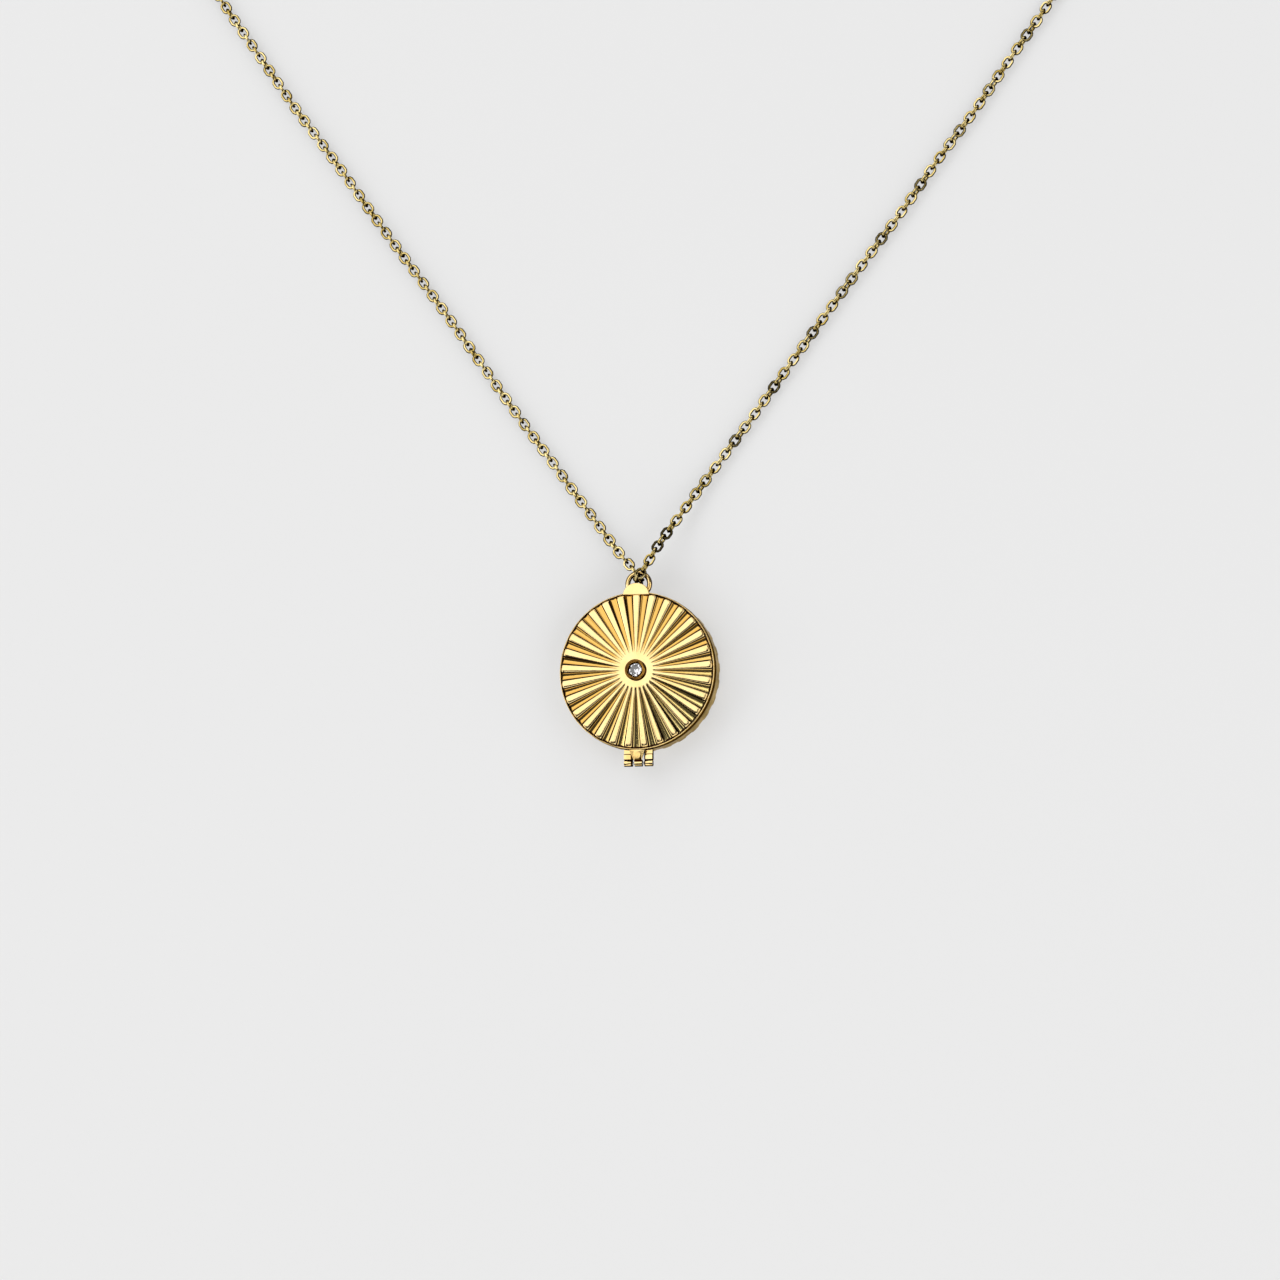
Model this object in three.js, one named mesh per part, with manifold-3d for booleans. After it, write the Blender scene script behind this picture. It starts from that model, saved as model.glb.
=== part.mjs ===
// Round fluted locket on a fine cable chain, laid out flat on a table.
// Millimetres. The locket lies on its back: +Z points out of its front, +Y towards the clasp.
// The origin is the centre of the locket's back face.
import * as THREE from "three";
import { mergeVertices } from "three/addons/utils/BufferGeometryUtils.js";
import Module from "manifold-3d";

const wasm = await Module();
wasm.setup();

// ---- Driving dimensions ----
const CASE_R = 10.1; // outer radius of the back case
const CASE_H = 3.65; // back face to the seam
const CASE_WALL = 0.95; // side wall, measured at its plain band
const CASE_FLOOR = 0.6; // floor of the back case
const COVER_RIM_H = 0.7; // seam to the top of the cover's rim
const DOME_H = 0.5; // rim top to the cover's plain centre boss
const COVER_SKIN = 0.18; // thinnest metal under a flute groove
const FLUTES = 29;
const RIDGE_SHARE = 0.45; // share of one flute's angle that is ridge
const RIDGE_H = 0.3; // height of a ridge above its groove at the rim
const BOSS_R = 2.2; // plain centre of the front and of the back
const RIM_LAND = 0.4; // plain rim outside the flutes
const LIP_DEPTH = 0.4; // register lip of the cover, inside the case wall
const LIP_WALL = 0.3;
const RUNNING_GAP = 0.1; // lip to case wall
const SEAM_GAP = 0.05; // case to closed cover
const SOLDER_GAP = 0.03; // soldered and cemented pieces stand this far apart
const CARD_T = 0.15; // photo card
const WINDOW_T = 0.24; // clear photo cover
const FRAME_H = 0.32; // ring that holds card and window down
const FRAME_W = 1.1; // radial width of that ring
const TAB_W = 3.4; // thumb tab, across its base
const TAB_REACH = 1.05; // how far the tab stands out past the case
const TAB_T = 0.4;
const STONE_R = 1.0;
const BEZEL_R = 1.34;
const BEZEL_STEM_R = 0.76;
const KNUCKLE_R = 0.42; // hinge barrel
const KNUCKLE_W = 0.96; // length of the middle knuckle
const LEAF_W = 1.04; // length of each outer knuckle
const KNUCKLE_GAP = 0.32;
const HINGE_REACH = 1.58; // case side to the hinge axis
const PIN_R = 0.17;
const PIN_GAP = 0.03;
const BAIL_R = 1.42; // centreline radius of the bail
const BAIL_WIRE_R = 0.32;
const BAIL_REACH = 1.1; // case side to the bail's centre
const LINK_WIRE_R = 0.175;
const LINK_W = 8.35 * LINK_WIRE_R; // outer width of a chain link
const LINK_L = 9.7 * LINK_WIRE_R; // outer length of a chain link
const LINK_SLACK = 0.1;
const LINK_STEEP = 80; // degrees that the links beside the bail stand up
const LINK_FALL = 20; // degrees that the next ones slope down
const APEX_DROP = 0.86; // bail wire down to the middle of the link that hangs in it
const CHAIN_STEPS = 39; // straight lengths that make up half of the chain
const CLASP_T = 1.1;
const CLASP_BOW_R = 1.8; // centreline radius of the hook
const CLASP_BAR = 0.8; // width of the hook's bar
const CLASP_SLOT = 0.66; // slot between the cheeks
const LEVER_T = 0.58;
const CLASP_PIN_R = 0.2;
const EYE_X = -4.45; // middle of the clasp's eye from the clasp's middle
const EYE_R = 0.825; // centreline radius of the clasp's eye
const EYE_BAR = 0.4;
const EYE_T = 0.75;
const JUMP_R = 1.25; // centreline radius of the ring on the clasp's eye
const JUMP_WIRE_R = 0.2;
const JUMP_TILT = 75; // degrees from the table
const END_RING_R = 1.5; // centreline radius of the ring that the clasp hooks into
const END_RING_WIRE_R = 0.225;
const END_RING_TILT = 50;
const RING_PLAY = 0.45; // ring to the inside of the hook
const EYE_PLAY = 0.2; // jump ring to the inside of the eye
const CLASP_AT = [0, 142, 1.4];

// ---- Sizes that follow ----
const SEAM_Z = CASE_H + SEAM_GAP;
const RIM_Z = SEAM_Z + COVER_RIM_H;
const BOSS_Z = RIM_Z + DOME_H;
const CASE_BORE_R = CASE_R - CASE_WALL;
const COVER_R = CASE_R - 0.05;
const LIP_R = CASE_BORE_R - RUNNING_GAP;
const COVER_BORE_R = LIP_R - LIP_WALL;
const FLUTE_END_R = COVER_R - RIM_LAND;
const GROOVE_Z = RIM_Z - 0.1;
const CEILING_Z = GROOVE_Z - COVER_SKIN;
const HINGE_Y = -(CASE_R + HINGE_REACH);
const HINGE_Z = CASE_H - KNUCKLE_R - 0.03;
const BAIL_Y = CASE_R + BAIL_REACH;
const BAIL_Z = CASE_H - BAIL_WIRE_R - 0.13;

// ---- Finishes ----
const finish = (color, roughness, metalness) => ({ color, roughness, metalness });
const GOLD = finish(0xe8c060, 0.18, 1);
const DARK_GOLD = finish(0x9a7f3c, 0.3, 1);
const STEEL = finish(0xb8b8b4, 0.3, 1);
const CLEAR = finish(0xf2f6f8, 0.05, 0);
const PAPER = finish(0xe9e2d2, 0.8, 0);

const locket = new THREE.Group();

function place(name, geometry, look) {
  const mesh = new THREE.Mesh(geometry, new THREE.MeshStandardMaterial(look));
  mesh.name = name;
  locket.add(mesh);
  return mesh;
}

// ---- Solids ----
function solid(geometry) {
  const bare = geometry.clone();
  bare.deleteAttribute("normal");
  bare.deleteAttribute("uv");
  const merged = mergeVertices(bare, 1e-5);
  const vertProperties = new Float32Array(merged.attributes.position.array);
  const triVerts = new Uint32Array(merged.index.array);
  return new wasm.Manifold(new wasm.Mesh({ numProp: 3, vertProperties, triVerts }));
}

function surface(body) {
  const mesh = body.getMesh();
  const geometry = new THREE.BufferGeometry();
  geometry.setAttribute("position", new THREE.BufferAttribute(mesh.vertProperties, 3));
  geometry.setIndex(new THREE.BufferAttribute(mesh.triVerts, 1));
  return geometry;
}

// Body of revolution about Z from a closed profile of [radius, height].
function lathe(profile, segments = 48) {
  const points = profile.map(([r, z]) => new THREE.Vector2(r, z));
  if (profile[0][0] > 0) points.push(points[0].clone());
  return new THREE.LatheGeometry(points, segments).rotateX(Math.PI / 2);
}

function disc(radius, low, thickness) {
  const high = low + thickness;
  return lathe([[0, low], [radius, low], [radius, high], [0, high]]);
}

function rodAlongZ(radius, low, high, segments = 16) {
  return new THREE.CylinderGeometry(radius, radius, high - low, segments)
    .rotateX(Math.PI / 2)
    .translate(0, 0, (low + high) / 2);
}

// Outline in Y and Z, drawn out along X from one x to the next.
function alongX(shape, from, to) {
  return new THREE.ExtrudeGeometry(shape, { depth: to - from, bevelEnabled: false, curveSegments: 8 })
    .rotateY(Math.PI / 2)
    .rotateX(Math.PI / 2)
    .translate(from, 0, 0);
}

function polygon(points) {
  return new THREE.Shape(points.map(([a, b]) => new THREE.Vector2(a, b)));
}

function flat(shape, thickness, middle) {
  return new THREE.ExtrudeGeometry(shape, { depth: thickness, bevelEnabled: false, curveSegments: 16 })
    .translate(0, 0, middle - thickness / 2);
}

// A body of revolution whose profile changes from ridge to groove around it.
// Profiles run outwards along the underside first, so that the faces point out.
function fluted(ridge, groove) {
  const flute = (2 * Math.PI) / FLUTES;
  const half = (flute * RIDGE_SHARE) / 2;
  const flank = flute * 0.05;
  const columns = [];
  for (let i = 0; i < FLUTES; i++) {
    const middle = Math.PI / 2 + i * flute;
    columns.push({ at: middle - half, profile: ridge });
    columns.push({ at: middle + half, profile: ridge });
    columns.push({ at: middle + half + flank, profile: groove });
    columns.push({ at: middle + flute - half - flank, profile: groove });
  }
  const position = [];
  const rows = ridge.map(([radius], ring) =>
    columns.map(({ at, profile }, k) => {
      if (radius > 0 || k === 0) {
        const [r, z] = profile[ring];
        position.push(r * Math.cos(at), r * Math.sin(at), z);
      }
      return position.length / 3 - 1;
    }),
  );
  const index = [];
  const last = ridge[0][0] > 0 ? rows.length : rows.length - 1;
  for (let ring = 0; ring < last; ring++) {
    const here = rows[ring];
    const next = rows[(ring + 1) % rows.length];
    for (let k = 0; k < columns.length; k++) {
      const n = (k + 1) % columns.length;
      if (here[k] !== here[n]) index.push(here[k], here[n], next[n]);
      if (next[n] !== next[k]) index.push(here[k], next[n], next[k]);
    }
  }
  const geometry = new THREE.BufferGeometry();
  geometry.setAttribute("position", new THREE.Float32BufferAttribute(position, 3));
  geometry.setIndex(index);
  return geometry;
}

// ---- Back case: fluted back and side, plain band at the seam ----
function backCase() {
  const bandZ = CASE_H - 0.6;
  const side = CASE_R - 0.04;
  const inside = [
    [CASE_R, bandZ],
    [CASE_R, CASE_H],
    [CASE_BORE_R, CASE_H],
    [CASE_BORE_R, CASE_FLOOR],
    [0, CASE_FLOOR],
  ];
  const ridge = [[0, 0], [BOSS_R, 0], [BOSS_R + 0.5, 0], [side - 0.9, 0], [side - 0.25, 0.22], [side, 0.8]];
  const groove = [
    [0, 0],
    [BOSS_R, 0],
    [BOSS_R + 0.5, 0.08],
    [side - 1.0, 0.25],
    [side - 0.4, 0.42],
    [side - 0.14, 0.9],
  ];
  const top = CASE_H - 0.7;
  return fluted(
    [...ridge, [side, top], ...inside],
    [...groove, [side - 0.14, top], ...inside],
  );
}

// ---- Front cover: fluted shell with a rim and a register lip, pierced for the stone's collet ----
function frontCover() {
  const hole = BEZEL_STEM_R + SOLDER_GAP;
  const under = [
    [COVER_BORE_R, CEILING_Z],
    [COVER_BORE_R, SEAM_Z - LIP_DEPTH],
    [LIP_R, SEAM_Z - LIP_DEPTH],
    [LIP_R, SEAM_Z],
    [COVER_R, SEAM_Z],
    [COVER_R, RIM_Z - 0.1],
    [COVER_R - 0.08, RIM_Z],
    [COVER_R - 0.28, RIM_Z],
    [FLUTE_END_R + 0.02, GROOVE_Z],
  ];
  const ridge = [
    [FLUTE_END_R - 0.1, GROOVE_Z + 0.05],
    [FLUTE_END_R - 0.35, GROOVE_Z + RIDGE_H],
    [6, BOSS_Z - 0.17],
    [BOSS_R + 0.4, BOSS_Z - 0.04],
    [BOSS_R, BOSS_Z],
  ];
  const groove = [
    [FLUTE_END_R - 0.15, GROOVE_Z],
    [FLUTE_END_R - 0.45, GROOVE_Z + 0.01],
    [6, BOSS_Z - 0.17 - RIDGE_H],
    [BOSS_R + 0.4, BOSS_Z - 0.13],
    [BOSS_R, BOSS_Z],
  ];
  const centre = [
    [hole, BOSS_Z],
    [hole, CEILING_Z],
  ];
  return fluted([...under, ...ridge, ...centre], [...under, ...groove, ...centre]);
}

// ---- Photo holders: a card under a clear window, held by a ring ----
function photoHolder(side, seat, facing, bore) {
  const layer = (start, thickness) => (facing > 0 ? seat + start : seat - start - thickness);
  const windowStart = 2 * SOLDER_GAP + CARD_T;
  const frameStart = windowStart + WINDOW_T + SOLDER_GAP;
  const outer = bore - SOLDER_GAP;
  place(`${side}_photo_card`, disc(outer - 0.1, layer(SOLDER_GAP, CARD_T), CARD_T), PAPER);
  place(`${side}_photo_window`, disc(outer - 0.1, layer(windowStart, WINDOW_T), WINDOW_T), CLEAR);
  const low = layer(frameStart, FRAME_H);
  const high = low + FRAME_H;
  const inner = outer - FRAME_W;
  const bevel = 0.12;
  const ring =
    facing > 0
      ? [[inner, low], [outer, low], [outer, high], [inner + bevel, high], [inner, high - bevel]]
      : [[inner + bevel, low], [outer, low], [outer, high], [inner, high], [inner, low + bevel]];
  place(`${side}_photo_frame`, lathe(ring), GOLD);
}

// ---- Thumb tab: half-round plate on the cover's rim ----
function thumbTab() {
  const base = FLUTE_END_R;
  const shape = new THREE.Shape();
  shape.moveTo(TAB_W / 2, base);
  shape.absellipse(0, base, TAB_W / 2, CASE_R + TAB_REACH - base, 0, Math.PI, false);
  shape.lineTo(TAB_W / 2, base);
  return flat(shape, TAB_T, RIM_Z + SOLDER_GAP + TAB_T / 2);
}

// ---- Stone and its collet ----
function stoneBezel() {
  const profile = [
    [0.58, CEILING_Z + SOLDER_GAP],
    [BEZEL_STEM_R, CEILING_Z + SOLDER_GAP],
    [BEZEL_STEM_R, BOSS_Z + 0.02],
    [BEZEL_R, BOSS_Z + 0.02],
    [BEZEL_R, BOSS_Z + 0.42],
    [BEZEL_R - 0.22, BOSS_Z + 0.54],
    [STONE_R - 0.06, BOSS_Z + 0.48],
    [STONE_R + 0.03, BOSS_Z + 0.4],
    [STONE_R + 0.03, BOSS_Z + 0.25],
    [0.58, BOSS_Z - 0.06],
  ];
  return lathe(profile, 40);
}

function centreStone() {
  const girdle = BOSS_Z + 0.27;
  const profile = [
    [0, girdle - 0.69 * STONE_R],
    [STONE_R, girdle],
    [STONE_R, girdle + 0.06],
    [0.55 * STONE_R, girdle + 0.29],
    [0, girdle + 0.29],
  ];
  return lathe(profile, 16);
}

// ---- Hinge ----
function barrel(holeR) {
  const shape = new THREE.Shape();
  shape.absarc(HINGE_Y, HINGE_Z, KNUCKLE_R, 0, 2 * Math.PI, false);
  const bore = new THREE.Path();
  bore.absarc(HINGE_Y, HINGE_Z, holeR, 0, 2 * Math.PI, true);
  shape.holes.push(bore);
  return shape;
}

function boreRod(from, to) {
  const shape = new THREE.Shape();
  shape.absarc(HINGE_Y, HINGE_Z, PIN_R + PIN_GAP, 0, 2 * Math.PI, false);
  return solid(alongX(shape, from - 0.1, to + 0.1));
}

function hingeLeaf(side) {
  const inner = KNUCKLE_W / 2 + KNUCKLE_GAP;
  const from = side > 0 ? inner : -inner - LEAF_W;
  const to = from + LEAF_W;
  const top = HINGE_Z + KNUCKLE_R;
  const bottom = HINGE_Z - KNUCKLE_R;
  const end = HINGE_Y + KNUCKLE_R;
  const plate = polygon([
    [-CASE_R + 1, bottom],
    [-CASE_R + 1, top],
    [end + 0.12, top],
    [end - 0.02, top - 0.14],
    [end - 0.1, HINGE_Z],
    [end - 0.02, bottom + 0.14],
    [end + 0.12, bottom],
  ]);
  const caseSide = solid(rodAlongZ(CASE_R + SOLDER_GAP, -1, CASE_H + 1, 116));
  const body = solid(alongX(barrel(PIN_R + PIN_GAP), from, to))
    .add(solid(alongX(plate, from, to)))
    .subtract(caseSide)
    .subtract(boreRod(from, to));
  return surface(body);
}

function coverKnuckle() {
  const root = -(COVER_R + SOLDER_GAP);
  const arm = polygon([
    [root, SEAM_Z + 0.06],
    [root, RIM_Z - 0.06],
    [HINGE_Y + 0.85, RIM_Z - 0.1],
    [HINGE_Y + 0.33, HINGE_Z + 0.75],
    [HINGE_Y + 0.08, HINGE_Z + 0.3],
    [HINGE_Y + 0.3, HINGE_Z],
    [HINGE_Y + 0.7, HINGE_Z + 0.5],
  ]);
  const from = -KNUCKLE_W / 2;
  const to = KNUCKLE_W / 2;
  const body = solid(alongX(barrel(PIN_R + PIN_GAP), from, to))
    .add(solid(alongX(arm, from, to)))
    .subtract(boreRod(from, to));
  return surface(body);
}

function hingePin() {
  const end = KNUCKLE_W / 2 + KNUCKLE_GAP + LEAF_W;
  const shape = new THREE.Shape();
  shape.absarc(HINGE_Y, HINGE_Z, PIN_R, 0, 2 * Math.PI, false);
  return alongX(shape, -end, end);
}

// ---- Bail: a wire loop soldered to the side of the case ----
function bailLoop() {
  const ring = new THREE.TorusGeometry(BAIL_R, BAIL_WIRE_R, 10, 36).translate(0, BAIL_Y, BAIL_Z);
  const caseSide = rodAlongZ(CASE_R + SOLDER_GAP, -1, CASE_H + 1, 116);
  return surface(solid(ring).subtract(solid(caseSide)));
}

// ---- Chain links by the bail ----
// An oval link lying in X and Y, long way along X.
function ovalLink() {
  const sides = 12;
  const arc = LINK_W / 2 - LINK_WIRE_R;
  const stretch = (LINK_L - LINK_W) / 2;
  const geometry = new THREE.TorusGeometry(arc, LINK_WIRE_R, 8, sides).rotateZ(Math.PI / sides);
  const at = geometry.attributes.position;
  for (let i = 0; i < at.count; i++) {
    at.setX(i, at.getX(i) + Math.sign(at.getX(i)) * stretch);
  }
  return geometry;
}

function placeLink(name, centre, long, wide) {
  const x = long.clone().normalize();
  const y = wide.clone().addScaledVector(x, -wide.dot(x)).normalize();
  const z = new THREE.Vector3().crossVectors(x, y);
  const mesh = place(name, ovalLink(), DARK_GOLD);
  mesh.quaternion.setFromRotationMatrix(new THREE.Matrix4().makeBasis(x, y, z));
  mesh.position.copy(centre);
}

function bailLinks() {
  const up = new THREE.Vector3(0, 0, 1);
  const apex = new THREE.Vector3(0, BAIL_Y + BAIL_R - APEX_DROP, BAIL_Z);
  placeLink("chain_link_apex", apex, up, new THREE.Vector3(1, 0, 0));
  const hang = LINK_L / 2 - LINK_WIRE_R;
  const grip = hang - 2 * LINK_WIRE_R - LINK_SLACK;
  const steep = THREE.MathUtils.degToRad(LINK_STEEP);
  const slope = THREE.MathUtils.degToRad(LINK_FALL);
  for (const [side, lift] of [["left", -1], ["right", 1]]) {
    const lean = new THREE.Vector3(lift * 0.34, 0.94, 0);
    const out = new THREE.Vector3(lift * 0.57, 0.82, 0);
    const across = new THREE.Vector3(-lift * 0.82, 0.57, 0);
    const rise = lean.clone().multiplyScalar(Math.cos(steep)).addScaledVector(up, lift * Math.sin(steep));
    const first = apex.clone().addScaledVector(up, lift * grip).addScaledVector(rise, hang);
    placeLink(`chain_link_${side}_1`, first, rise, lean);
    const fall = out.clone().multiplyScalar(Math.cos(slope)).addScaledVector(up, -Math.sin(slope));
    const second = first.clone().addScaledVector(rise, grip).addScaledVector(fall, hang);
    placeLink(`chain_link_${side}_2`, second, fall, across);
  }
}

// ---- The two halves of the chain, as plain tubes of the links' outer size ----
const CHAIN_LEFT = [
  [-1.25, 13.55, 1.45], [-2.75, 15.2, 1.2], [-4.2, 17.1, 1.0], [-7.35, 21.35, 0.8],
  [-12.2, 28.0, 0.75], [-17.1, 34.7, 0.75], [-21.8, 41.4, 0.75], [-26.6, 48.2, 0.75],
  [-31.6, 55.0, 0.75], [-36.6, 61.9, 0.75], [-41.5, 68.8, 0.75], [-46.6, 75.7, 0.75],
  [-51.4, 82.7, 0.75], [-56.2, 89.7, 0.75], [-60.4, 96.6, 0.75], [-63.0, 104.0, 0.75],
  [-63.4, 111.8, 0.75], [-61.5, 119.4, 0.75], [-57.3, 126.4, 0.75], [-51.2, 132.2, 0.75],
  [-43.6, 136.6, 0.75], [-35.0, 139.5, 0.75], [-25.8, 141.2, 0.75], [-16.5, 141.9, 0.75],
  [-7.6, 142.0, 0.75],
];
const CHAIN_RIGHT = [
  [1.2, 13.6, 3.9], [2.0, 15.2, 3.4], [3.2, 17.3, 2.6], [4.95, 19.9, 1.85], [7.25, 23.2, 1.2],
  [10.2, 27.2, 0.85], [15.0, 33.5, 0.75], [19.6, 39.7, 0.75], [24.3, 46.0, 0.75], [29.1, 52.3, 0.75],
  [33.9, 58.5, 0.75], [38.5, 64.8, 0.75], [43.3, 71.0, 0.75], [47.8, 77.3, 0.75], [52.3, 83.5, 0.75],
  [56.6, 90.0, 0.75], [60.0, 97.2, 0.75], [61.7, 104.9, 0.75], [61.3, 112.7, 0.75], [58.7, 120.1, 0.75],
  [54.1, 126.7, 0.75], [47.8, 132.1, 0.75], [40.2, 136.3, 0.75], [31.6, 139.3, 0.75], [22.6, 141.2, 0.75],
  [14.0, 142.0, 0.75], [6.15, 142.0, 0.75],
];

function chainTube(route, steps) {
  const path = new THREE.CatmullRomCurve3(route.map((p) => new THREE.Vector3(...p)), false, "centripetal");
  const section = new THREE.Shape();
  section.absarc(0, 0, LINK_W / 2, 0, 2 * Math.PI, false);
  return new THREE.ExtrudeGeometry(section, { extrudePath: path, steps, curveSegments: 8 });
}

// ---- Lobster clasp ----
// Drawn flat about its own centre, hook to the right, eye to the left.
const BOW_X = 1.7;
const PIVOT = [-2.2, 0.6];

function claspBody() {
  const outer = CLASP_BOW_R + CLASP_BAR / 2;
  const inner = CLASP_BOW_R - CLASP_BAR / 2;
  const tip = THREE.MathUtils.degToRad(80);
  const low = -Math.PI / 2;
  const shape = new THREE.Shape();
  shape.moveTo(-3.75, -0.75);
  shape.quadraticCurveTo(-2.9, -1.75, -1.4, -1.85);
  shape.lineTo(BOW_X, -outer);
  shape.absarc(BOW_X, 0, outer, low, tip, false);
  shape.lineTo(BOW_X + inner * Math.cos(tip), inner * Math.sin(tip));
  shape.absarc(BOW_X, 0, inner, tip, low, true);
  shape.lineTo(-0.9, -0.95);
  shape.lineTo(-1.25, 0.2);
  shape.lineTo(-1.5, 1.35);
  shape.lineTo(-3.0, 1.35);
  shape.lineTo(-3.75, 0.75);
  const eye = new THREE.Shape();
  eye.absarc(EYE_X, 0, EYE_R + EYE_BAR / 2, 0, 2 * Math.PI, false);
  const eyeHole = new THREE.Path();
  eyeHole.absarc(EYE_X, 0, EYE_R - EYE_BAR / 2, 0, 2 * Math.PI, true);
  eye.holes.push(eyeHole);
  const slot = new THREE.BoxGeometry(2.3, 2.35, CLASP_SLOT).translate(-2.0, 0.825, 0);
  const pinHole = rodAlongZ(CLASP_PIN_R + 0.02, -CLASP_T, CLASP_T, 12).translate(...PIVOT, 0);
  const body = solid(flat(shape, CLASP_T, 0))
    .add(solid(flat(eye, EYE_T, 0)))
    .subtract(solid(slot))
    .subtract(solid(pinHole));
  return surface(body);
}

function claspLever() {
  const [px, py] = PIVOT;
  const shape = new THREE.Shape();
  shape.moveTo(px, py - 0.5);
  shape.absarc(px, py, 0.5, -Math.PI / 2, Math.PI / 2, true);
  shape.lineTo(px + 0.9, py + 0.55);
  shape.lineTo(px + 1.1, py + 1.15);
  shape.lineTo(px + 1.6, py + 1.15);
  shape.lineTo(px + 1.85, py + 0.6);
  shape.lineTo(px + 4.15, py + 0.7);
  shape.lineTo(px + 4.27, py + 0.55);
  shape.lineTo(px + 4.15, py + 0.28);
  shape.lineTo(px + 0.6, py - 0.2);
  const hole = rodAlongZ(CLASP_PIN_R + 0.04, -1, 1, 12).translate(px, py, 0);
  return surface(solid(flat(shape, LEVER_T, 0)).subtract(solid(hole)));
}

function claspSpring() {
  const shape = new THREE.Shape();
  shape.moveTo(-3.0, -0.3);
  shape.quadraticCurveTo(-2.5, 0.3, -2.0, -0.3);
  shape.lineTo(-2.1, -0.3);
  shape.quadraticCurveTo(-2.5, 0.16, -2.9, -0.3);
  return flat(shape, LEVER_T - 0.06, 0);
}

// A wire ring that leans on the table at a tilt, its plane along X.
// Heights are counted from the clasp's middle.
function leaningRing(radius, wireR, x, tilt) {
  const lean = THREE.MathUtils.degToRad(tilt);
  const height = radius * Math.sin(lean) + wireR + 0.02 - CLASP_AT[2];
  return new THREE.TorusGeometry(radius, wireR, 8, 28).rotateX(lean).translate(x, 0, height);
}

function claspSet() {
  const hookX = BOW_X + CLASP_BOW_R - CLASP_BAR / 2;
  const eyeX = EYE_X - EYE_R + EYE_BAR / 2;
  const jumpX = eyeX + EYE_PLAY + JUMP_WIRE_R - JUMP_R;
  const endX = hookX - RING_PLAY - END_RING_WIRE_R + END_RING_R;
  const pin = rodAlongZ(CLASP_PIN_R, -CLASP_T / 2, CLASP_T / 2, 12).translate(...PIVOT, 0);
  const pieces = [
    place("clasp_body", claspBody(), GOLD),
    place("clasp_lever", claspLever(), GOLD),
    place("clasp_pin", pin, STEEL),
    place("clasp_spring", claspSpring(), STEEL),
    place("clasp_jump_ring", leaningRing(JUMP_R, JUMP_WIRE_R, jumpX, JUMP_TILT), DARK_GOLD),
    place("clasp_end_ring", leaningRing(END_RING_R, END_RING_WIRE_R, endX, END_RING_TILT), DARK_GOLD),
  ];
  for (const piece of pieces) piece.position.set(...CLASP_AT);
}

place("back_case", backCase(), GOLD);
photoHolder("case", CASE_FLOOR, 1, CASE_BORE_R);
place("front_cover", frontCover(), GOLD);
photoHolder("cover", CEILING_Z, -1, COVER_BORE_R);
place("thumb_tab", thumbTab(), GOLD);
place("stone_bezel", stoneBezel(), GOLD);
place("centre_stone", centreStone(), CLEAR);
place("hinge_leaf_left", hingeLeaf(-1), GOLD);
place("hinge_leaf_right", hingeLeaf(1), GOLD);
place("cover_knuckle", coverKnuckle(), GOLD);
place("hinge_pin", hingePin(), STEEL);
place("bail_loop", bailLoop(), GOLD);
bailLinks();
place("chain_left", chainTube(CHAIN_LEFT, CHAIN_STEPS), DARK_GOLD);
place("chain_right", chainTube(CHAIN_RIGHT, CHAIN_STEPS), DARK_GOLD);
claspSet();

export default locket;
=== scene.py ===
# Round fluted locket on a fine cable chain, laid out on a pale table.
import math

import bmesh
import bpy
from mathutils import Matrix, Vector


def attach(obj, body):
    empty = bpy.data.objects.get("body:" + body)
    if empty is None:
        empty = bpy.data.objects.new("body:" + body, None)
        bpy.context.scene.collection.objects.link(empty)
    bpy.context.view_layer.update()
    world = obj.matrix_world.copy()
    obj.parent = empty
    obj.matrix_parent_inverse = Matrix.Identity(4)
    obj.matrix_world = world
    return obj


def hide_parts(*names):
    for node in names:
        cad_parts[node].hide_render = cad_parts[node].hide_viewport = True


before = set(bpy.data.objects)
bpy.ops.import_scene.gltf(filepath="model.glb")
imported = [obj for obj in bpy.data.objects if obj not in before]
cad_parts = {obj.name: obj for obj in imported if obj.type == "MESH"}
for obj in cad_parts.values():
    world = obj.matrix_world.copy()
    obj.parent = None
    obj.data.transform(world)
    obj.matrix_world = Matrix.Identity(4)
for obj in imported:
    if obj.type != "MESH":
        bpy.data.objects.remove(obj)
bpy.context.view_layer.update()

MM = 0.001
TOUCH = 1e-6  # corners nearer than this are one corner
UP = Vector((0, 0, 1))

scene = bpy.context.scene
scene.view_settings.view_transform = "Standard"

# ---- Sizes shared with the solid model, in millimetres ----
CASE_R = 10.1
CASE_H = 3.65
CASE_FLOOR = 0.6
CASE_BORE_R = 9.15
COVER_R = 10.05
COVER_BORE_R = 8.75
SEAM_Z = 3.70
BOSS_Z = 4.90
CEILING_Z = 4.12
FLUTES = 29
HINGE_Y = -11.68
HINGE_Z = 3.20
KNUCKLE_R = 0.42
PIN_BORE_R = 0.20
BAIL_Y = 11.2
BAIL_Z = 3.2
BAIL_R = 1.42
BAIL_WIRE_R = 0.32
LINK_WIRE_R = 0.175
LINK_W = 8.35 * LINK_WIRE_R
LINK_L = 9.7 * LINK_WIRE_R
LINK_SLACK = 0.1
LINK_STEEP = math.radians(80)
LINK_FALL = math.radians(20)
APEX_DROP = 0.86
CHAIN_WIRE_R = 0.185
CHAIN_LINK_L = 1.81
CHAIN_PITCH = 1.06
STONE_R = 1.0
CLASP = Vector((0, 142, 1.4))


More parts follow.
